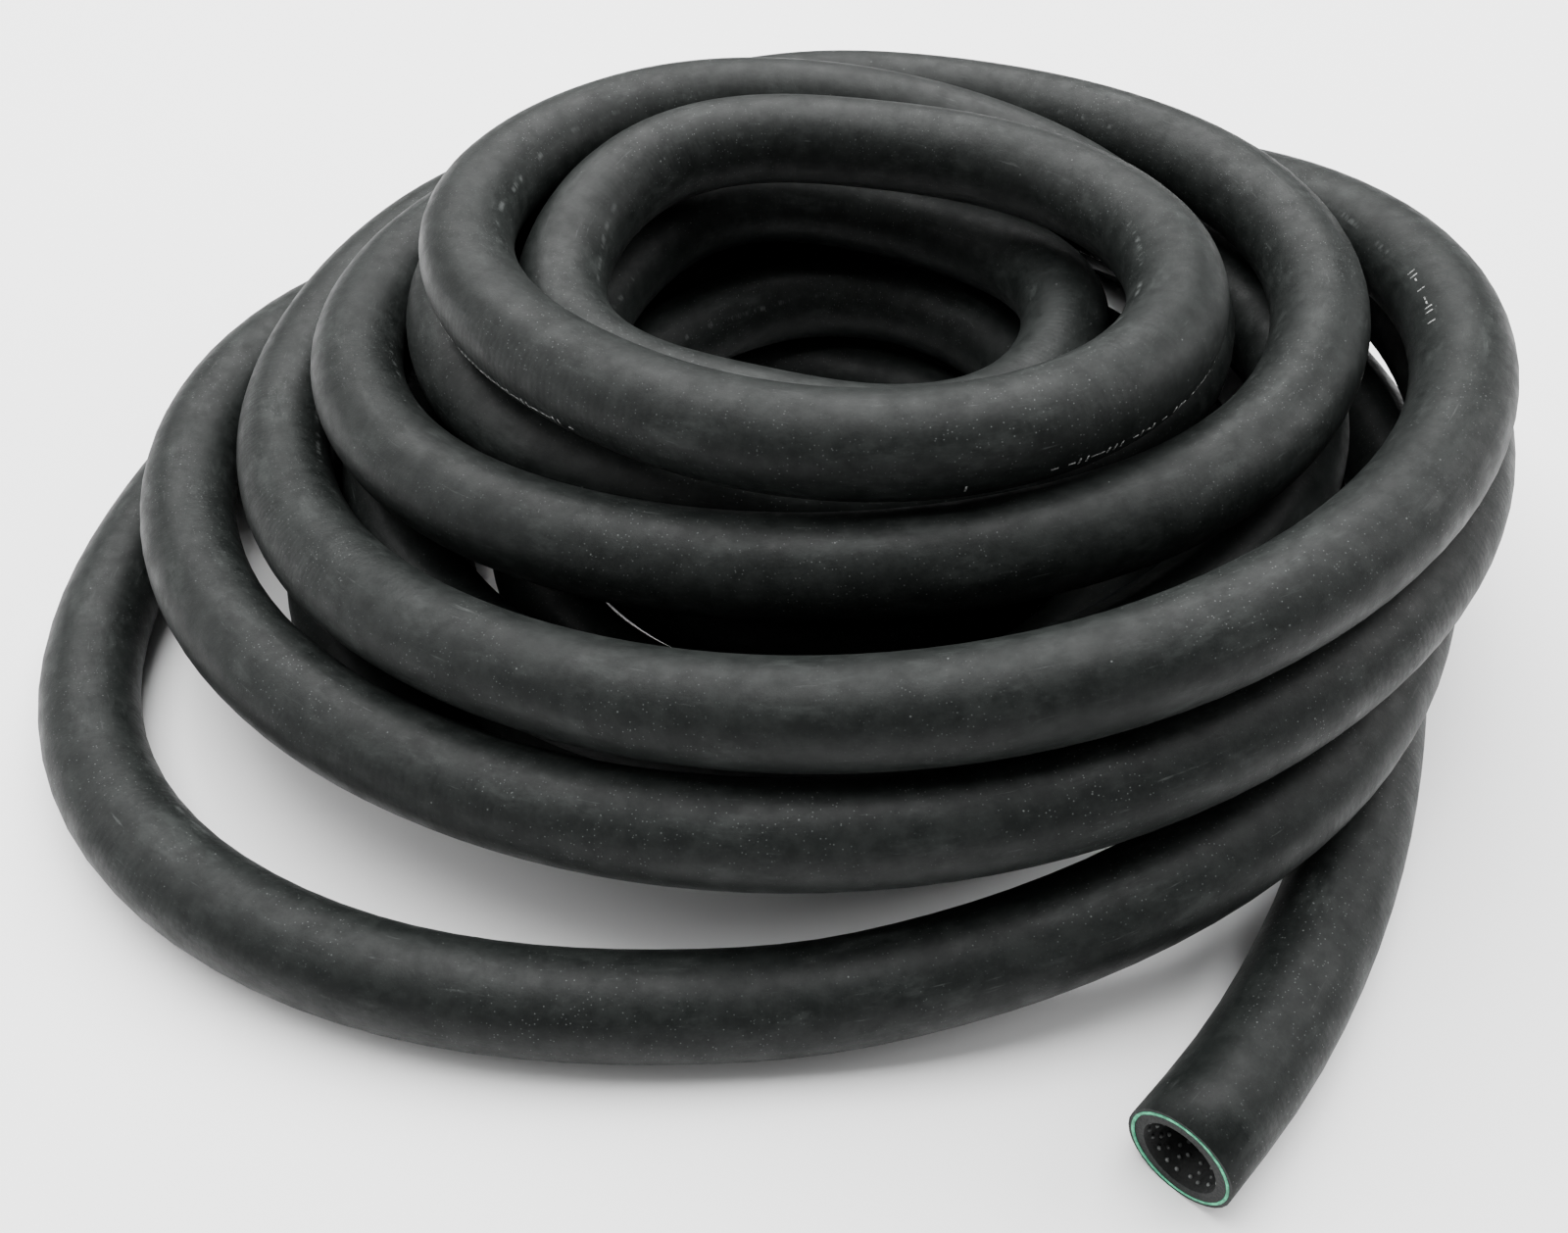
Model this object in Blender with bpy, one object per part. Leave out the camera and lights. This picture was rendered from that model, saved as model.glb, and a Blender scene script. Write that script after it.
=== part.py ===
"""A loose coil of reinforced rubber hose, lying on a flat floor with one cut end free at the front.

The hose is three bonded layers: a rubber cover, a thin green yarn reinforcement and a rubber inner
tube. Each layer is one closed tube that follows the same route for the whole length of the hose.
The model is in metres, with +Z up, the floor at Z = 0 and the free end towards -Y.
"""

import math

import bpy
import numpy as np

MM = 0.001

# Cross-section of the hose, in millimetres.
OUTSIDE_DIAMETER = 27.0
BORE_DIAMETER = 19.0
COVER_WALL = 0.9
YARN_WALL = 0.5
LAYER_GAP = 0.2

# The route winds anticlockwise, seen from above, round a vertical axis. It is planned at a few
# directions round each turn, in degrees. The outermost turn lies flat on the floor, from the free
# end on: direction, and distance from the axis in millimetres.
FLOOR_TURN = (
    (-90, 285),
    (-60, 230),
    (-30, 195),
    (0, 190),
    (60, 210),
    (90, 212),
    (120, 198),
    (150, 187),
    (180, 201),
    (210, 222),
    (240, 209),
    (270, 190),
)
# The later turns, from STACKED_FROM on, are planned at every PLAN_STEP: distance from the axis, and
# height above the floor turn in hose diameters. They climb to the top, go down the middle of the
# coil and end on the floor under it.
STACKED_FROM = 300
PLAN_STEP = 60
STACKED_TURNS = (
    ((193, 0.8), (187, 1.0), (175, 0.7), (163, 0.5), (185, 0.9), (167, 1.1)),
    ((180, 1.8), (200, 2.0), (190, 1.6), (165, 1.5), (155, 1.4), (145, 1.9)),
    ((170, 2.8), (190, 2.9), (160, 1.6), (140, 1.0), (125, 1.0), (130, 1.1)),
    ((140, 1.5), (155, 2.0), (135, 1.9), (135, 2.0), (130, 2.1), (110, 2.4)),
    ((125, 2.8), (155, 2.9), (135, 2.9), (115, 2.7), (100, 2.4), (80, 2.3)),
    ((90, 2.4), (120, 2.6), (105, 3.1), (95, 3.4), (90, 3.4), (85, 3.5)),
    ((110, 3.7), (105, 3.5), (70, 3.4), (65, 3.4), (67, 2.9), (55, 2.7)),
    ((60, 2.4), (85, 2.1), (90, 2.0), (75, 2.0), (65, 1.8), (65, 1.5)),
    ((75, 1.3), (85, 1.0), (80, 0.9), (65, 0.9), (60, 0.8), (70, 0.5)),
    ((80, 0.2), (80, 0.1), (70, 0.0), (70, 0.0), (80, 0.0), (95, 0.0)),
    ((108, 0.0), (112, 0.0), (110, 0.0), (104, 0.0), (114, 0.0), (123, 0.0)),
    ((136, 0.0), (145, 0.0), (143, 0.0), (135, 0.0), (145, 0.0), (150, 0.0)),
)

# The whole coil is turned by this many degrees, so that its free end points along -Y. The axis is
# where it puts the middle of the coil's box over the origin.
COIL_TURN = 46.1
COIL_AXIS = (-16.10, 6.24)

# The hose is cut at these two angles. Between them the route has a point at every POINT_STEP.
FREE_END_ANGLE = -69
HIDDEN_END_ANGLE = 4551
POINT_STEP = 6
POINTS_PER_TURN = 360 // POINT_STEP

# Turns that come closer than a hose diameter and this clearance are moved apart, by this share of
# the overlap at each step, together with this many points of the hose.
CLEARANCE = 0.6
SETTLING_STEPS = 60
SETTLING_SHARE = 0.2
SETTLING_SPREAD = 11

# The free stretch has a ring at every point, so that it leaves its cut face squarely. The coil has
# one at every third.
FREE_RINGS = 12
RING_STEP = 3
SIDES = 8

# Name, outer radius and inner radius in millimetres, colour, roughness.
COVER_RADIUS = OUTSIDE_DIAMETER / 2
YARN_RADIUS = COVER_RADIUS - COVER_WALL - LAYER_GAP
TUBE_RADIUS = YARN_RADIUS - YARN_WALL - LAYER_GAP
LAYERS = (
    ("outer_cover", COVER_RADIUS, COVER_RADIUS - COVER_WALL, (0.018, 0.021, 0.021), 0.48),
    ("reinforcement", YARN_RADIUS, YARN_RADIUS - YARN_WALL, (0.030, 0.330, 0.150), 0.75),
    ("inner_tube", TUBE_RADIUS, BORE_DIAMETER / 2, (0.014, 0.015, 0.015), 0.62),
)


def clear_scene():
    for obj in list(bpy.data.objects):
        bpy.data.objects.remove(obj, do_unlink=True)


def plan():
    """The planned directions, distances from the axis and heights, from the free end on."""
    rows = [(angle, radius, 0.0) for angle, radius in FLOOR_TURN]
    later = [place for turn in STACKED_TURNS for place in turn]
    rows += [(STACKED_FROM + PLAN_STEP * k, *place) for k, place in enumerate(later)]
    return np.array(rows, float).T


def curve_through(places, values, at):
    """The natural cubic spline through the values, read at other places."""
    count = len(places)
    width = np.diff(places)
    slope = np.diff(values) / width
    matrix = np.eye(count)
    bend = np.zeros(count)
    for i in range(1, count - 1):
        matrix[i, i - 1 : i + 2] = width[i - 1], 2 * (width[i - 1] + width[i]), width[i]
        bend[i] = 6 * (slope[i] - slope[i - 1])
    bend = np.linalg.solve(matrix, bend)
    i = np.clip(np.searchsorted(places, at, side="right") - 1, 0, count - 2)
    t = at - places[i]
    first = slope[i] - width[i] * (2 * bend[i] + bend[i + 1]) / 6
    third = (bend[i + 1] - bend[i]) / width[i]
    return values[i] + t * first + t**2 * bend[i] / 2 + t**3 * third / 6


def planned_route():
    """The route's points in millimetres, one at every POINT_STEP."""
    angles, radii, layers = plan()
    at = np.arange(FREE_END_ANGLE, HIDDEN_END_ANGLE + POINT_STEP, POINT_STEP)
    radius = curve_through(angles, radii, at)
    height = curve_through(angles, layers, at).clip(0) * OUTSIDE_DIAMETER + COVER_RADIUS
    around = np.radians(at + COIL_TURN)
    x = COIL_AXIS[0] + radius * np.cos(around)
    y = COIL_AXIS[1] + radius * np.sin(around)
    return np.stack([x, y, height], axis=1)


def spread_out(pushes):
    """Each push shared with its neighbours along the hose, so that the hose stays smooth."""
    weights = np.hanning(SETTLING_SPREAD + 2)[1:-1]
    return np.stack([np.convolve(column, weights, mode="same") for column in pushes.T], axis=1)


def settled(points):
    """Moves turns that crowd each other apart, a little at a time, until they only touch."""
    index = np.arange(len(points))
    other_turn = abs(index[:, None] - index) > POINTS_PER_TURN // 2
    spacing = OUTSIDE_DIAMETER + CLEARANCE
    for _ in range(SETTLING_STEPS):
        between = points[:, None] - points
        distance = np.linalg.norm(between, axis=2).clip(1)
        overlap = np.where(other_turn, (spacing - distance).clip(0), 0)
        pushes = (between * (overlap / distance)[:, :, None]).sum(axis=1)
        points = points + spread_out(pushes) * SETTLING_SHARE
        points[:, 2] = points[:, 2].clip(COVER_RADIUS)
    return points


def section_frames():
    """Centre, sideways direction and upward direction of the hose at each ring, in metres."""
    points = settled(planned_route()) * MM
    along = np.gradient(points, axis=0, edge_order=2)
    along /= np.linalg.norm(along, axis=1)[:, None]
    side = np.cross((0, 0, 1), along)
    side /= np.linalg.norm(side, axis=1)[:, None]
    rise = np.cross(along, side)
    rings = [*range(FREE_RINGS), *range(FREE_RINGS + RING_STEP - 1, len(points), RING_STEP)]
    return [(points[i], side[i], rise[i]) for i in rings]


def ring(frame, radius):
    centre, side, rise = frame
    points = []
    for k in range(SIDES):
        turned = 2 * math.pi * k / SIDES
        points.append(centre + (side * math.cos(turned) + rise * math.sin(turned)) * radius)
    return points


def wall_faces(rings, first, inwards):
    """Quads that join each ring of vertices to the next one."""
    faces = []
    for i in range(rings - 1):
        for k in range(SIDES):
            a = first + i * SIDES + k
            b = first + i * SIDES + (k + 1) % SIDES
            if inwards:
                faces.append((a, a + SIDES, b + SIDES, b))
            else:
                faces.append((a, b, b + SIDES, a + SIDES))
    return faces


def end_faces(outer, inner, backwards):
    """Quads that close one end between the outer ring and the inner ring."""
    faces = []
    for k in range(SIDES):
        following = (k + 1) % SIDES
        quad = (outer + k, inner + k, inner + following, outer + following)
        faces.append(quad[::-1] if backwards else quad)
    return faces


def material(name, colour, roughness):
    made = bpy.data.materials.new(name)
    made.use_nodes = True
    shader = made.node_tree.nodes["Principled BSDF"]
    shader.inputs["Base Color"].default_value = (*colour, 1.0)
    shader.inputs["Roughness"].default_value = roughness
    shader.inputs["Metallic"].default_value = 0.0
    made.diffuse_color = (*colour, 1.0)
    return made


def hose_layer(frames, name, outer_radius, inner_radius, colour, roughness):
    """One layer of the hose: a closed tube with flat ring-shaped ends."""
    points = []
    for radius in (outer_radius, inner_radius):
        for frame in frames:
            points.extend(ring(frame, radius * MM))
    rings = len(frames)
    inner = rings * SIDES
    last = (rings - 1) * SIDES
    walls = wall_faces(rings, 0, False) + wall_faces(rings, inner, True)
    ends = end_faces(0, inner, False) + end_faces(last, inner + last, True)
    mesh = bpy.data.meshes.new(name)
    mesh.from_pydata(points, [], walls + ends)
    mesh.update()
    for index, polygon in enumerate(mesh.polygons):
        polygon.use_smooth = index < len(walls)
    mesh.materials.append(material(name, colour, roughness))
    layer = bpy.data.objects.new(name, mesh)
    bpy.context.scene.collection.objects.link(layer)
    return layer


def build():
    clear_scene()
    frames = section_frames()
    coil = bpy.data.objects.new("hose_coil", None)
    bpy.context.scene.collection.objects.link(coil)
    for layer in LAYERS:
        hose_layer(frames, *layer).parent = coil


build()
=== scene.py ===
"""The looks of the hose coil: its three layers in fine detail, a pale floor, soft light and a camera.

The route is the one that the CAD solids follow, in the same frame: metres, +Z up, floor at Z = 0.
"""

import math
import random

import bpy
import numpy as np
from mathutils import Euler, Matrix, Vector


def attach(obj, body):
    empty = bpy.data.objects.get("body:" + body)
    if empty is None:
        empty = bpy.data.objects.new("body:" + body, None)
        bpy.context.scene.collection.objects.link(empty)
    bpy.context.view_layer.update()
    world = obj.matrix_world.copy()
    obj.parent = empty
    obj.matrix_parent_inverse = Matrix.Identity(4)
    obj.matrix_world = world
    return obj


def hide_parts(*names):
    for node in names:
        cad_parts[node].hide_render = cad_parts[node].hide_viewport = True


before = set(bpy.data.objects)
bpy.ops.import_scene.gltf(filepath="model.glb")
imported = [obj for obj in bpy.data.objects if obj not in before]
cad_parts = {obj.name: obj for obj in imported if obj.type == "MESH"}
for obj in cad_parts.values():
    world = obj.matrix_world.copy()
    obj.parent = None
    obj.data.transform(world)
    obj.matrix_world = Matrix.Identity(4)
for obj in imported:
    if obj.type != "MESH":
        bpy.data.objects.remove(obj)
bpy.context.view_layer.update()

MM = 0.001

# Cross-section of the hose, in millimetres.
OUTSIDE_DIAMETER = 27.0
BORE_DIAMETER = 19.0
COVER_WALL = 0.9
YARN_WALL = 0.6
COVER_RADIUS = OUTSIDE_DIAMETER / 2
YARN_RADIUS = COVER_RADIUS - COVER_WALL
TUBE_RADIUS = YARN_RADIUS - YARN_WALL
BORE_RADIUS = BORE_DIAMETER / 2
LAYER_GAP = 0.04

# The route: direction in degrees, and distance from the coil's axis, of the outermost turn.
FLOOR_TURN = (
    (-90, 285),
    (-60, 230),
    (-30, 195),
    (0, 190),
    (60, 210),
    (90, 212),
    (120, 198),
    (150, 187),
    (180, 201),
    (210, 222),
    (240, 209),
    (270, 190),
)
# The later turns, at every PLAN_STEP from STACKED_FROM on: distance from the axis, and height above
# the floor turn in hose diameters.
STACKED_FROM = 300
PLAN_STEP = 60
STACKED_TURNS = (
    ((193, 0.8), (187, 1.0), (175, 0.7), (163, 0.5), (185, 0.9), (167, 1.1)),
    ((180, 1.8), (200, 2.0), (190, 1.6), (165, 1.5), (155, 1.4), (145, 1.9)),
    ((170, 2.8), (190, 2.9), (160, 1.6), (140, 1.0), (125, 1.0), (130, 1.1)),
    ((140, 1.5), (155, 2.0), (135, 1.9), (135, 2.0), (130, 2.1), (110, 2.4)),
    ((125, 2.8), (155, 2.9), (135, 2.9), (115, 2.7), (100, 2.4), (80, 2.3)),
    ((90, 2.4), (120, 2.6), (105, 3.1), (95, 3.4), (90, 3.4), (85, 3.5)),
    ((110, 3.7), (105, 3.5), (70, 3.4), (65, 3.4), (67, 2.9), (55, 2.7)),
    ((60, 2.4), (85, 2.1), (90, 2.0), (75, 2.0), (65, 1.8), (65, 1.5)),
    ((75, 1.3), (85, 1.0), (80, 0.9), (65, 0.9), (60, 0.8), (70, 0.5)),
    ((80, 0.2), (80, 0.1), (70, 0.0), (70, 0.0), (80, 0.0), (95, 0.0)),
    ((108, 0.0), (112, 0.0), (110, 0.0), (104, 0.0), (114, 0.0), (123, 0.0)),
    ((136, 0.0), (145, 0.0), (143, 0.0), (135, 0.0), (145, 0.0), (150, 0.0)),
)
COIL_TURN = 46.1
COIL_AXIS = (-16.10, 6.24)
FREE_END_ANGLE = -69
HIDDEN_END_ANGLE = 4551
POINT_STEP = 6
POINTS_PER_TURN = 360 // POINT_STEP
CLEARANCE = 0.6
SETTLING_STEPS = 60
SETTLING_SHARE = 0.2
SETTLING_SPREAD = 11

# Sides of each layer's round section.
TUBE_SIDES = 32

# The ragged end of the yarn at the cut face.
RING_RADIUS = 12.3
RING_WIDTH = 0.85
RING_PROUD = 0.12
RING_SUNK = 0.4
RING_TAPER = 0.75
RING_DRIFT = 0.10
RING_FRAY = 0.13
RING_POINTS = 180
RING_LOBES = (1, 2, 3, 5, 8, 13, 21)

# The bumps inside the bore: domes with a ring of points at each tilt up their sides.
BUMP_RADIUS = 0.62
BUMP_STRETCH = 1.25
BUMP_SUNK = 0.25
BUMP_SIDES = 8
BUMP_TILTS = (0.0, 35.0, 62.0, 80.0)
BUMPS_AROUND = 20
BUMPS_MISSING = 0.12
FIRST_BUMP = 2.6
BUMP_PITCH = 2.4
BUMP_ROWS = 24

# Stretches with ink ticks: first and last angle of the route, place round the hose (0 faces the
# axis, 90 is on top), and the gap from tick to tick.
LAYLINE = (
    (2340, 2398, 202.0, 1.9),
    (2452, 2453, 200.0, 3.0),
    (2462, 2496, 196.0, 1.9),
    (1068, 1078, 40.0, 2.6),
)

# Length along the hose and height round it of an upright tick and of a dash, and how far the ink
# reaches under and over the rubber.
TICK_SIZE = (0.45, 2.3)
DASH_SIZE = (1.7, 0.45)
DASH_SHARE = 0.25
INK_SUNK = 0.15
INK_PROUD = 0.04

# The camera's place from the coil's axis, seen with the coil unturned, and its lens.
CAMERA_PLACE = (0.0, -375.0, 330.0)
CAMERA_PITCH = 45.0
CAMERA_LENS = 33.75

# The studio: half the floor's side in metres, the light from all round, and each area light's name,
# place, size and power.
FLOOR_HALF = 6.0
WORLD_STRENGTH = 0.36
LIGHTS = (
    ("overhead", (-0.1, 0.55, 1.4), 2.0, 125.0),
    ("left", (-1.3, 0.0, 0.8), 0.9, 11.0),
    ("right", (1.4, 0.2, 0.9), 0.9, 19.0),
)


def plan():
    """The planned directions, distances from the axis and heights, from the free end on."""
    rows = [(angle, radius, 0.0) for angle, radius in FLOOR_TURN]
    later = [place for turn in STACKED_TURNS for place in turn]
    rows += [(STACKED_FROM + PLAN_STEP * k, *place) for k, place in enumerate(later)]
    return np.array(rows, float).T


def curve_through(places, values, at):
    """The natural cubic spline through the values, read at other places."""
    count = len(places)
    width = np.diff(places)
    slope = np.diff(values) / width
    matrix = np.eye(count)
    bend = np.zeros(count)
    for i in range(1, count - 1):
        matrix[i, i - 1 : i + 2] = width[i - 1], 2 * (width[i - 1] + width[i]), width[i]
        bend[i] = 6 * (slope[i] - slope[i - 1])
    bend = np.linalg.solve(matrix, bend)
    i = np.clip(np.searchsorted(places, at, side="right") - 1, 0, count - 2)
    t = at - places[i]
    first = slope[i] - width[i] * (2 * bend[i] + bend[i + 1]) / 6
    third = (bend[i + 1] - bend[i]) / width[i]
    return values[i] + t * first + t**2 * bend[i] / 2 + t**3 * third / 6


def planned_route():
    """The route's points in millimetres, one at every POINT_STEP."""
    angles, radii, layers = plan()
    at = np.arange(FREE_END_ANGLE, HIDDEN_END_ANGLE + POINT_STEP, POINT_STEP)
    radius = curve_through(angles, radii, at)
    height = curve_through(angles, layers, at).clip(0) * OUTSIDE_DIAMETER + COVER_RADIUS
    around = np.radians(at + COIL_TURN)
    x = COIL_AXIS[0] + radius * np.cos(around)
    y = COIL_AXIS[1] + radius * np.sin(around)
    return np.stack([x, y, height], axis=1)


def spread_out(pushes):
    """Each push shared with its neighbours along the hose, so that the hose stays smooth."""
    weights = np.hanning(SETTLING_SPREAD + 2)[1:-1]
    return np.stack([np.convolve(column, weights, mode="same") for column in pushes.T], axis=1)


def settled(points):
    """Moves turns that crowd each other apart, a little at a time, until they only touch."""
    index = np.arange(len(points))
    other_turn = abs(index[:, None] - index) > POINTS_PER_TURN // 2
    spacing = OUTSIDE_DIAMETER + CLEARANCE
    for _ in range(SETTLING_STEPS):
        between = points[:, None] - points
        distance = np.linalg.norm(between, axis=2).clip(1)
        overlap = np.where(other_turn, (spacing - distance).clip(0), 0)
        pushes = (between * (overlap / distance)[:, :, None]).sum(axis=1)
        points = points + spread_out(pushes) * SETTLING_SHARE
        points[:, 2] = points[:, 2].clip(COVER_RADIUS)
    return points


class Route:
    """The settled route in metres: its centre line, and a frame of directions at every point."""

    def __init__(self, points, finer):
        index = np.arange(len(points), dtype=float)
        at = np.arange((len(points) - 1) * finer + 1) / finer
        self.angle = FREE_END_ANGLE + at * POINT_STEP
        self.centre = np.stack([curve_through(index, c, at) for c in points.T], axis=1) * MM
        steps = np.linalg.norm(np.diff(self.centre, axis=0), axis=1)
        self.along_mm = np.concatenate([[0.0], np.cumsum(steps)]) / MM
        self.along = unit(np.gradient(self.centre, axis=0, edge_order=2))
        self.side = unit(np.cross((0, 0, 1), self.along))
        self.rise = np.cross(self.along, self.side)

    def length(self):
        return float(self.along_mm[-1] * MM)

    def at(self, along_mm):
        """Centre, along, side and rise at a distance from the free end."""
        fields = (self.centre, self.along, self.side, self.rise)
        return [
            Vector([np.interp(along_mm, self.along_mm, field[:, axis]) for axis in range(3)])
            for field in fields
        ]


def unit(vectors):
    return vectors / np.linalg.norm(vectors, axis=1)[:, None]


SETTLED = settled(planned_route())
FINE = Route(SETTLED, 2)
COARSE = Route(SETTLED, 1)


def in_hose(along_mm, turned, radius):
    """A place on the hose as if it were laid out straight, in metres: what the materials follow."""
    return (along_mm * MM, radius * MM * math.cos(turned), radius * MM * math.sin(turned))


def make_piece(name, points, faces, straight, paint):
    """A mesh object whose "hose" attribute holds each point's place on the straightened hose."""
    mesh = bpy.data.meshes.new(name)
    mesh.from_pydata(points, [], faces)
    mesh.update()
    attribute = mesh.attributes.new("hose", "FLOAT_VECTOR", "POINT")
    attribute.data.foreach_set("vector", np.array(straight, np.float32).reshape(-1))
    mesh.polygons.foreach_set("use_smooth", [True] * len(mesh.polygons))
    mesh.materials.append(paint)
    piece = bpy.data.objects.new(name, mesh)
    bpy.context.scene.collection.objects.link(piece)
    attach(piece, "root")
    return piece


def tube(name, route, outer_radius, inner_radius, paint):
    """A hollow tube along the route, with flat ring-shaped ends."""
    last = len(route.centre) - 1
    sides = TUBE_SIDES
    angles = np.arange(sides) * 2 * math.pi / sides
    compass = np.stack([np.cos(angles), np.sin(angles)], axis=1)
    points = []
    straight = []
    for radius in (outer_radius, inner_radius):
        for i in range(last + 1):
            across = compass @ np.stack([route.side[i], route.rise[i]])
            points.append(route.centre[i] + across * radius * MM)
            straight.append([in_hose(route.along_mm[i], turned, radius) for turned in angles])
    faces = []
    inner = (last + 1) * sides
    for i in range(last):
        for k in range(sides):
            a = i * sides + k
            b = i * sides + (k + 1) % sides
            faces.append((a, b, b + sides, a + sides))
            faces.append((inner + a, inner + a + sides, inner + b + sides, inner + b))
    for k in range(sides):
        a = k
        b = (k + 1) % sides
        faces.append((a, inner + a, inner + b, b))
        a += last * sides
        b += last * sides
        faces.append((a, b, inner + b, inner + a))
    piece = make_piece(name, np.concatenate(points), faces, np.concatenate(straight), paint)
    for polygon in piece.data.polygons[-2 * sides :]:
        polygon.use_smooth = False
    return piece


def add_node(tree, kind, settings=(), **sockets):
    """A shader node. A socket's value is a number, a colour or another node's output. A socket
    is given by its name, or by its number as n0, n1 and so on."""
    made = tree.nodes.new(kind)
    for key, value in dict(settings).items():
        setattr(made, key, value)
    for key, value in sockets.items():
        socket = made.inputs[int(key[1:])] if key[0] == "n" and key[1:].isdigit() else made.inputs[key]
        if isinstance(value, bpy.types.NodeSocket):
            tree.links.new(value, socket)
        else:
            socket.default_value = value
    return made


def hose_place(tree):
    """Where a point is on the straightened hose, so that textures follow the hose round."""
    return add_node(tree, "ShaderNodeAttribute", {"attribute_name": "hose"}).outputs["Vector"]


def stretched(tree, place, along, across):
    """The place scaled by one factor along the hose and another across it."""
    scale = add_node(tree, "ShaderNodeMapping", n0=place, n3=(along, across, across))
    return scale.outputs["Vector"]


def noise(tree, place, scale, detail=3.0, roughness=0.5):
    made = add_node(tree, "ShaderNodeTexNoise", Vector=place, Scale=scale, Detail=detail)
    made.inputs["Roughness"].default_value = roughness
    return made.outputs["Fac"]


def between(tree, value, low, high, to_low=0.0, to_high=1.0):
    """The value remapped from low..high to to_low..to_high, and held inside."""
    made = add_node(tree, "ShaderNodeMapRange", {"interpolation_type": "SMOOTHSTEP"}, Value=value)
    for name, number in zip(("From Min", "From Max", "To Min", "To Max"), (low, high, to_low, to_high)):
        made.inputs[name].default_value = number
    return made.outputs["Result"]


def multiplied(tree, a, b):
    return add_node(tree, "ShaderNodeMath", {"operation": "MULTIPLY"}, n0=a, n1=b).outputs[0]


def added(tree, a, b):
    return add_node(tree, "ShaderNodeMath", {"operation": "ADD"}, n0=a, n1=b).outputs[0]


def mixed(tree, factor, first, second):
    made = add_node(tree, "ShaderNodeMix", {"data_type": "RGBA"}, n0=factor, n6=first, n7=second)
    return made.outputs[2]


def bumped(tree, height, distance, strength):
    made = add_node(tree, "ShaderNodeBump", Height=height, Distance=distance, Strength=strength)
    return made.outputs["Normal"]


def specks(tree, place, scale, size, share):
    """Small round specks: how strongly each place is covered by one."""
    cells = add_node(tree, "ShaderNodeTexVoronoi", Vector=place, Scale=scale, Randomness=1.0)
    dots = between(tree, cells.outputs["Distance"], size, size * 0.4)
    chosen = add_node(tree, "ShaderNodeSeparateColor", n0=cells.outputs["Color"]).outputs[0]
    return multiplied(tree, dots, between(tree, chosen, 1 - share, 1 - share * 0.6))


def new_material(name):
    made = bpy.data.materials.new(name)
    made.use_nodes = True
    return made, made.node_tree, made.node_tree.nodes["Principled BSDF"]


def shoulder_painted_highlight(tree, place):
    """A painted highlight: a thin broken bright line along the hose, on the shoulder that faces the
    axis.
    """
    parts = add_node(tree, "ShaderNodeSeparateXYZ", Vector=place)
    sideways, upwards = parts.outputs[1], parts.outputs[2]
    across = add_node(tree, "ShaderNodeMath", {"operation": "ARCTAN2"}, n0=upwards, n1=sideways)
    drift = multiplied(tree, noise(tree, stretched(tree, place, 14.0, 4.0), 1.0, 2.0), 0.9)
    wandering = added(tree, across.outputs[0], drift)
    rising = between(tree, wandering, 1.02, 1.1)
    falling = between(tree, wandering, 1.12, 1.2, 1.0, 0.0)
    broken = between(tree, noise(tree, stretched(tree, place, 260.0, 60.0), 1.0, 3.0, 0.7), 0.5, 0.66)
    stretches = between(tree, noise(tree, stretched(tree, place, 7.0, 2.0), 1.0, 1.0), 0.46, 0.6)
    return multiplied(tree, multiplied(tree, rising, falling), multiplied(tree, broken, stretches))


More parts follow.
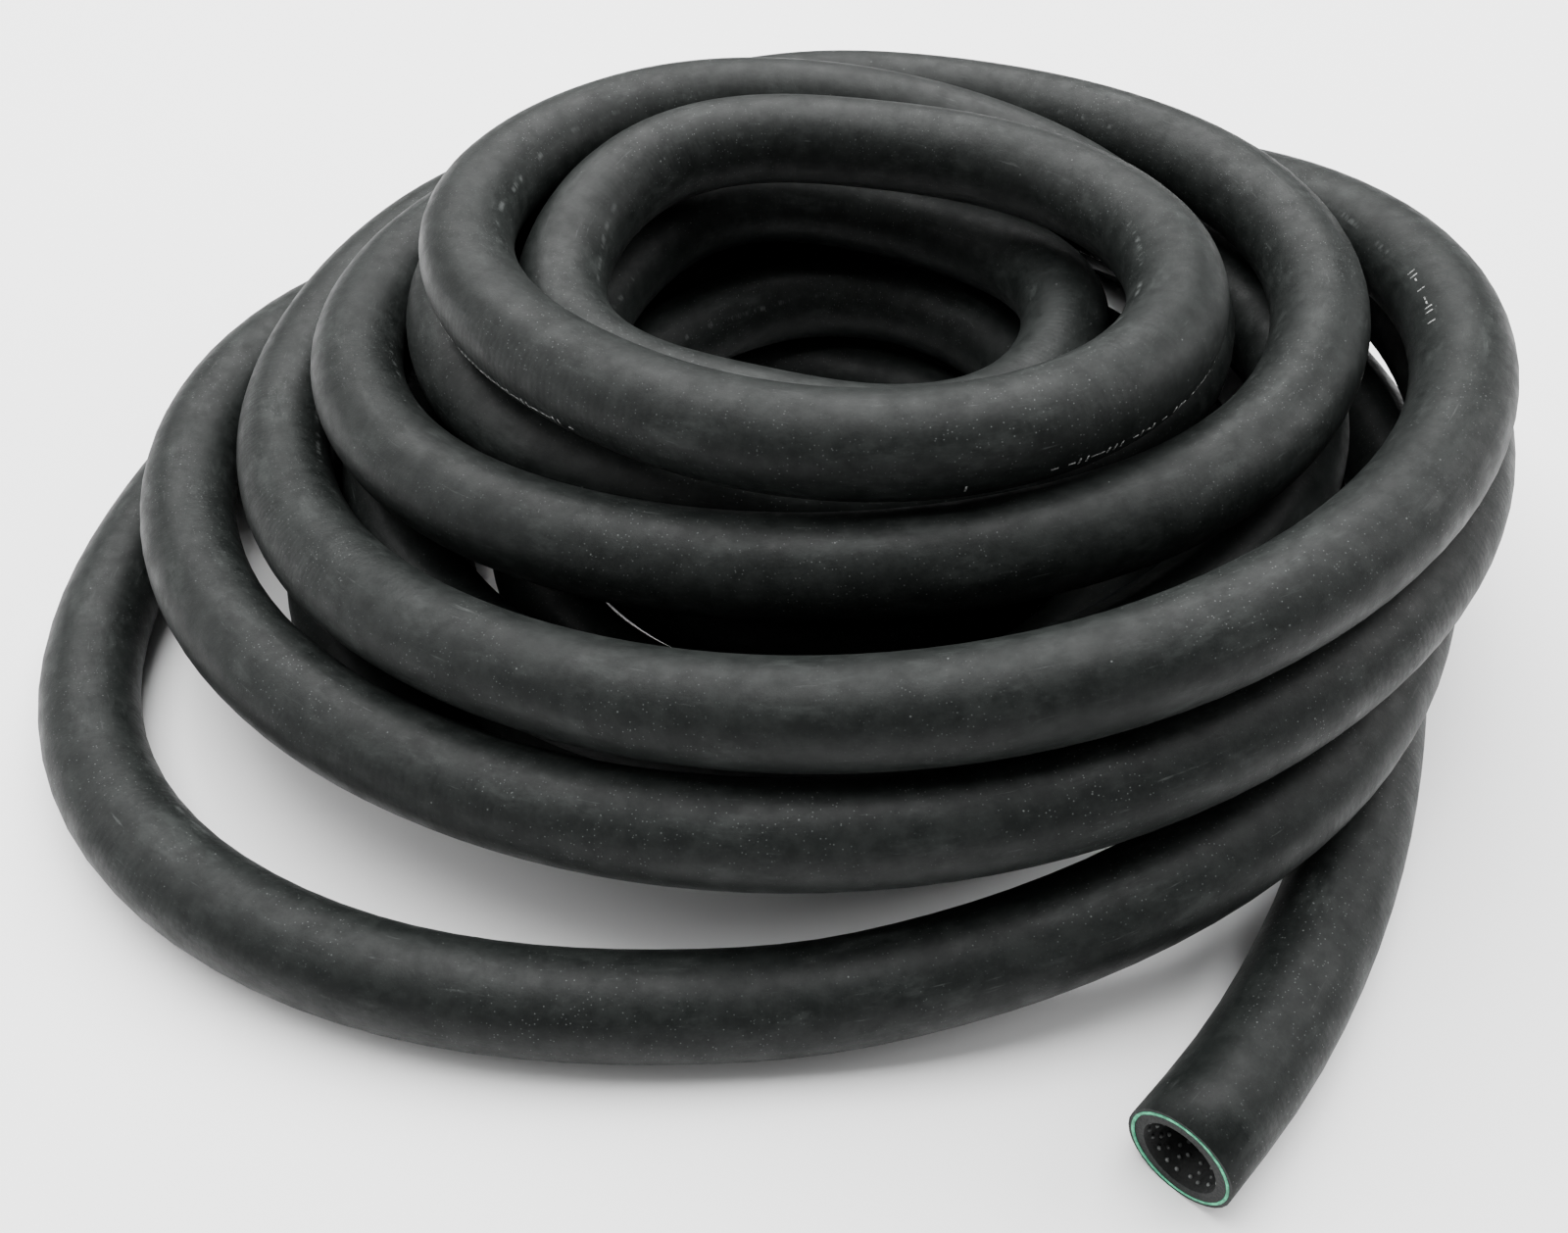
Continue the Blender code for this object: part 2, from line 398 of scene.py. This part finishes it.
def cover_rubber():
    """Satin black rubber, a little dusty: mottled, speckled, and marked by the wrap it cured in, with a
    painted highlight line along the shoulder that faces the axis.
    """
    made, tree, shader = new_material("cover_rubber")
    place = hose_place(tree)
    mottle = between(tree, noise(tree, place, 150.0, 7.0, 0.72), 0.36, 0.66)
    base = mixed(tree, mottle, (0.0044, 0.0055, 0.0051, 1), (0.0100, 0.0117, 0.0110, 1))
    cloud = noise(tree, stretched(tree, place, 45.0, 110.0), 1.0, 5.0, 0.7)
    blotches = between(tree, cloud, 0.52, 0.74)
    hazed = mixed(tree, multiplied(tree, blotches, 0.55), base, (0.028, 0.0315, 0.0300, 1))
    scuffs = between(tree, noise(tree, stretched(tree, place, 60.0, 700.0), 1.0, 4.0, 0.7), 0.63, 0.8)
    scuffed = mixed(tree, multiplied(tree, scuffs, 0.3), hazed, (0.10, 0.108, 0.105, 1))
    splashed = between(tree, noise(tree, place, 9.0, 2.0), 0.54, 0.64)
    wet = multiplied(tree, specks(tree, place, 260.0, 0.34, 0.5), splashed)
    spotted = mixed(tree, multiplied(tree, wet, 0.75), scuffed, (0.0045, 0.0055, 0.005, 1))
    fine = specks(tree, place, 1100.0, 0.24, 0.5)
    coarse = specks(tree, place, 330.0, 0.10, 0.16)
    patches = between(tree, noise(tree, place, 26.0, 3.0), 0.36, 0.66, 0.1, 1.0)
    patchy = multiplied(tree, fine, multiplied(tree, patches, 0.36))
    dust = added(tree, patchy, multiplied(tree, coarse, 0.36))
    # Painted highlight: a pale broken line at the same place on every turn's upper shoulder, mixed into
    # the colour together with the real dust specks.
    line = multiplied(tree, shoulder_painted_highlight(tree, place), 0.2)
    dust_and_painted_highlight = mixed(tree, added(tree, dust, line), spotted, (0.20, 0.215, 0.21, 1))
    tree.links.new(dust_and_painted_highlight, shader.inputs["Base Color"])
    worn = between(tree, noise(tree, place, 120.0, 5.0, 0.65), 0.3, 0.7, 0.44, 0.6)
    tree.links.new(added(tree, worn, multiplied(tree, wet, -0.1)), shader.inputs["Roughness"])
    wrap = add_node(tree, "ShaderNodeTexWave", {"bands_direction": "X"}, Vector=place, Scale=150.0)
    wrap.inputs["Distortion"].default_value = 3.5
    wrap.inputs["Detail"].default_value = 3.0
    wrap.inputs["Detail Scale"].default_value = 2.0
    stretches = between(tree, noise(tree, stretched(tree, place, 8.0, 30.0), 1.0, 2.0), 0.45, 0.66)
    ribs = multiplied(tree, wrap.outputs["Fac"], multiplied(tree, stretches, 0.2))
    grain = multiplied(tree, noise(tree, place, 1100.0, 4.0, 0.7), 0.55)
    lumps = multiplied(tree, noise(tree, place, 90.0, 3.0), 1.3)
    relief = added(tree, added(tree, ribs, grain), lumps)
    tree.links.new(bumped(tree, relief, 0.0004, 0.3), shader.inputs["Normal"])
    shader.inputs["Specular IOR Level"].default_value = 0.14
    return made


def tube_rubber():
    """The matt black rubber of the inner tube, sawn dull across its end."""
    made, tree, shader = new_material("tube_rubber")
    place = hose_place(tree)
    tone = between(tree, noise(tree, place, 260.0, 4.0, 0.6), 0.3, 0.75)
    base = mixed(tree, tone, (0.0032, 0.0036, 0.0036, 1), (0.0085, 0.0095, 0.0090, 1))
    tree.links.new(base, shader.inputs["Base Color"])
    grain = noise(tree, place, 1500.0, 3.0, 0.7)
    tree.links.new(between(tree, grain, 0.3, 0.7, 0.5, 0.72), shader.inputs["Roughness"])
    tree.links.new(bumped(tree, grain, 0.0002, 0.4), shader.inputs["Normal"])
    shader.inputs["Specular IOR Level"].default_value = 0.2
    return made


def painted_glint_bumps():
    """The bumps in the bore: the same rubber, coloured pale as a painted glint so that they read as
    light dots.
    """
    made, tree, shader = new_material("painted_glint_bumps")
    place = hose_place(tree)
    tone = between(tree, noise(tree, place, 420.0, 3.0, 0.6), 0.3, 0.7)
    # Painted glint: the bumps are far paler than the rubber, standing in for the highlights on their
    # tips.
    base = mixed(tree, tone, (0.035, 0.038, 0.037, 1), (0.17, 0.18, 0.175, 1))
    tree.links.new(base, shader.inputs["Base Color"])
    tree.links.new(between(tree, tone, 0.0, 1.0, 0.45, 0.65), shader.inputs["Roughness"])
    return made


def green_yarn():
    """Green yarn, cut across: bright and dark ends round the ring."""
    made, tree, shader = new_material("green_yarn")
    place = hose_place(tree)
    ends = noise(tree, place, 700.0, 3.0, 0.6)
    base = mixed(tree, between(tree, ends, 0.3, 0.72), (0.012, 0.17, 0.085, 1), (0.07, 0.62, 0.33, 1))
    tree.links.new(base, shader.inputs["Base Color"])
    tree.links.new(between(tree, ends, 0.3, 0.7, 0.6, 0.85), shader.inputs["Roughness"])
    tree.links.new(bumped(tree, ends, 0.0003, 0.5), shader.inputs["Normal"])
    return made


def pale_ink():
    """Pale ink, sprayed unevenly and partly rubbed off."""
    made, tree, shader = new_material("pale_ink")
    place = hose_place(tree)
    spray = noise(tree, place, 1500.0, 3.0, 0.7)
    base = mixed(tree, between(tree, spray, 0.38, 0.6), (0.03, 0.032, 0.031, 1), (0.36, 0.37, 0.36, 1))
    tree.links.new(base, shader.inputs["Base Color"])
    tree.links.new(between(tree, spray, 0.3, 0.7, 0.5, 0.7), shader.inputs["Roughness"])
    return made


def build_cover(paint):
    """The outer cover, drawn round and finer than the CAD solid that it stands for."""
    cover = tube("cover", FINE, COVER_RADIUS, YARN_RADIUS + LAYER_GAP, paint)
    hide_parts("outer_cover")
    return cover


def build_yarn(paint):
    yarn = tube("yarn_layer", COARSE, YARN_RADIUS - LAYER_GAP, TUBE_RADIUS + LAYER_GAP, paint)
    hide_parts("reinforcement")
    return yarn


def build_inner_tube(paint):
    inner = tube("tube_layer", COARSE, TUBE_RADIUS - LAYER_GAP, BORE_RADIUS, paint)
    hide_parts("inner_tube")
    return inner


def build_cut_ring(paint):
    """The yarn where the knife went through it: a ragged green ring, just proud of the cut face."""
    rng = random.Random(7)
    waves = [(k, rng.uniform(-1, 1) / k**0.6, rng.uniform(0, 2 * math.pi)) for k in RING_LOBES]

    def ragged(turned, shift):
        return sum(size * math.sin(k * turned + phase + shift) for k, size, phase in waves)

    centre, along, side, rise = FINE.at(0.0)
    count = RING_POINTS
    rows = ((RING_WIDTH, RING_SUNK), (RING_WIDTH * RING_TAPER, -RING_PROUD))
    points = []
    straight = []
    for width, depth in rows:
        for edge in (-1, 1):
            for k in range(count):
                turned = 2 * math.pi * k / count
                half_width = width * (0.5 + RING_FRAY * ragged(turned, 2.0 + edge))
                out = RING_RADIUS + RING_DRIFT * ragged(turned, 0.0) + edge * half_width
                across = side * math.cos(turned) + rise * math.sin(turned)
                points.append(centre + (along * depth + across * out) * MM)
                straight.append(in_hose(depth, turned, out))
    faces = []
    for k in range(count):
        a = k
        b = (k + 1) % count
        rings = [(a + row * count, b + row * count) for row in range(4)]
        (a0, b0), (a1, b1), (a2, b2), (a3, b3) = rings
        faces += [(a2, a3, b3, b2), (a0, b0, b1, a1), (a0, a2, b2, b0), (a1, b1, b3, a3)]
    ring = make_piece("cut_yarn_ring", points, faces, straight, paint)
    return ring


def dome(points, straight, faces, along_mm, turned):
    """Adds one rounded bump on the wall of the bore, sunk a little into the rubber."""
    centre, along, side, rise = FINE.at(along_mm)
    across = side * math.cos(turned) + rise * math.sin(turned)
    around = side * -math.sin(turned) + rise * math.cos(turned)
    foot = centre + across * (BORE_RADIUS + BUMP_SUNK) * MM
    first = len(points)
    sides = BUMP_SIDES
    for tilt in BUMP_TILTS:
        for k in range(sides):
            spin = 2 * math.pi * k / sides
            flat = math.cos(math.radians(tilt)) * BUMP_RADIUS
            up = math.sin(math.radians(tilt)) * BUMP_RADIUS * BUMP_STRETCH
            offset = (along * math.cos(spin) + around * math.sin(spin)) * flat - across * up
            points.append(foot + offset * MM)
            straight.append(in_hose(along_mm + math.cos(spin) * flat, turned, BORE_RADIUS - up))
    rows = len(BUMP_TILTS) - 1
    for row in range(rows):
        for k in range(sides):
            a = first + row * sides + k
            b = first + row * sides + (k + 1) % sides
            faces.append((a, b, b + sides, a + sides))
    faces.append(tuple(first + rows * sides + k for k in range(sides)))
    faces.append(tuple(first + sides - 1 - k for k in range(sides)))


def build_bore_bumps(paint):
    """Rows of small raised bumps round the bore, as far in as they can be seen."""
    rng = random.Random(3)
    points = []
    straight = []
    faces = []
    for row in range(BUMP_ROWS):
        for k in range(BUMPS_AROUND):
            if rng.random() < BUMPS_MISSING:
                continue
            turned = 2 * math.pi * (k + 0.5 * (row % 2) + rng.uniform(-0.14, 0.14)) / BUMPS_AROUND
            along_mm = FIRST_BUMP + row * BUMP_PITCH + rng.uniform(-0.3, 0.3)
            dome(points, straight, faces, along_mm, turned)
    bumps = make_piece("bore_bumps", points, faces, straight, paint)
    return bumps


def tick(points, straight, faces, along_mm, turned, length, height):
    """Adds one small raised block of ink that follows the cover's curve."""
    first = len(points)
    half_angle = height / 2 / COVER_RADIUS
    for radius in (COVER_RADIUS - INK_SUNK, COVER_RADIUS + INK_PROUD):
        for end in (-0.5, 0.5):
            centre, _, side, rise = FINE.at(along_mm + end * length)
            for step in (-1.0, -0.33, 0.33, 1.0):
                at = turned + step * half_angle
                across = side * math.cos(at) + rise * math.sin(at)
                points.append(centre + across * radius * MM)
                straight.append(in_hose(along_mm + end * length, at, radius))
    for k in range(3):
        a = first + k
        faces.append((a, a + 4, a + 5, a + 1))
        faces.append((a + 8, a + 9, a + 13, a + 12))
        faces.append((a, a + 1, a + 9, a + 8))
        faces.append((a + 4, a + 12, a + 13, a + 5))
    faces.append((first, first + 8, first + 12, first + 4))
    faces.append((first + 3, first + 7, first + 15, first + 11))


def build_layline(paint):
    """Plain ticks and dashes of pale ink on the top turn and the right turn. They spell nothing."""
    rng = random.Random(11)
    points = []
    straight = []
    faces = []
    for start, end, turned, gap in LAYLINE:
        at = np.interp(start, FINE.angle, FINE.along_mm)
        stop = np.interp(end, FINE.angle, FINE.along_mm)
        while at < stop:
            length, height = DASH_SIZE if rng.random() < DASH_SHARE else TICK_SIZE
            tick(points, straight, faces, at, math.radians(turned), length, height)
            at += gap * (1.0 if rng.random() < 0.85 else 2.2)
    marks = make_piece("layline_ticks", points, faces, straight, paint)
    return marks


def build_camera():
    turned = math.radians(COIL_TURN)
    x, y, z = CAMERA_PLACE
    camera = bpy.data.objects.new("camera", bpy.data.cameras.new("camera"))
    camera.location = (
        (COIL_AXIS[0] + x * math.cos(turned) - y * math.sin(turned)) * MM,
        (COIL_AXIS[1] + x * math.sin(turned) + y * math.cos(turned)) * MM,
        z * MM,
    )
    camera.rotation_euler = Euler((math.radians(90.0 - CAMERA_PITCH), 0.0, turned))
    camera.data.sensor_width = 36.0
    camera.data.lens = CAMERA_LENS
    bpy.context.scene.collection.objects.link(camera)
    bpy.context.scene.camera = camera


def soft_light(name, place, size, power):
    """A square area light that faces the coil. The place is in metres from the origin, as if the
    coil were unturned."""
    turned = math.radians(COIL_TURN)
    x, y, z = place
    light = bpy.data.objects.new(name, bpy.data.lights.new(name, "AREA"))
    light.data.shape = "SQUARE"
    light.data.size = size
    light.data.energy = power
    light.location = (
        x * math.cos(turned) - y * math.sin(turned),
        x * math.sin(turned) + y * math.cos(turned),
        z,
    )
    aim = Vector((0.0, 0.0, 0.05)) - light.location
    light.rotation_euler = aim.to_track_quat("-Z", "Y").to_euler()
    bpy.context.scene.collection.objects.link(light)


def build_studio():
    paper, tree, shader = new_material("paper")
    place = add_node(tree, "ShaderNodeTexCoord").outputs["Object"]
    tone = between(tree, noise(tree, place, 3.0, 2.0), 0.3, 0.7)
    base = mixed(tree, tone, (0.90, 0.90, 0.905, 1), (0.92, 0.92, 0.92, 1))
    tree.links.new(base, shader.inputs["Base Color"])
    shader.inputs["Roughness"].default_value = 0.9
    mesh = bpy.data.meshes.new("floor")
    corners = [(x * FLOOR_HALF, y * FLOOR_HALF, 0) for x, y in ((-1, -1), (1, -1), (1, 1), (-1, 1))]
    mesh.from_pydata(corners, [], [(0, 1, 2, 3)])
    mesh.materials.append(paper)
    floor = bpy.data.objects.new("floor", mesh)
    bpy.context.scene.collection.objects.link(floor)
    world = bpy.data.worlds.new("studio")
    world.use_nodes = True
    world.node_tree.nodes["Background"].inputs["Color"].default_value = (1.0, 1.0, 1.0, 1.0)
    world.node_tree.nodes["Background"].inputs["Strength"].default_value = WORLD_STRENGTH
    bpy.context.scene.world = world
    for light in LIGHTS:
        soft_light(*light)


build_camera()
build_studio()
YARN = green_yarn()
TUBE = tube_rubber()
cover = build_cover(cover_rubber())
yarn = build_yarn(YARN)
inner = build_inner_tube(TUBE)
details = [build_cut_ring(YARN), build_bore_bumps(painted_glint_bumps()), build_layline(pale_ink())]
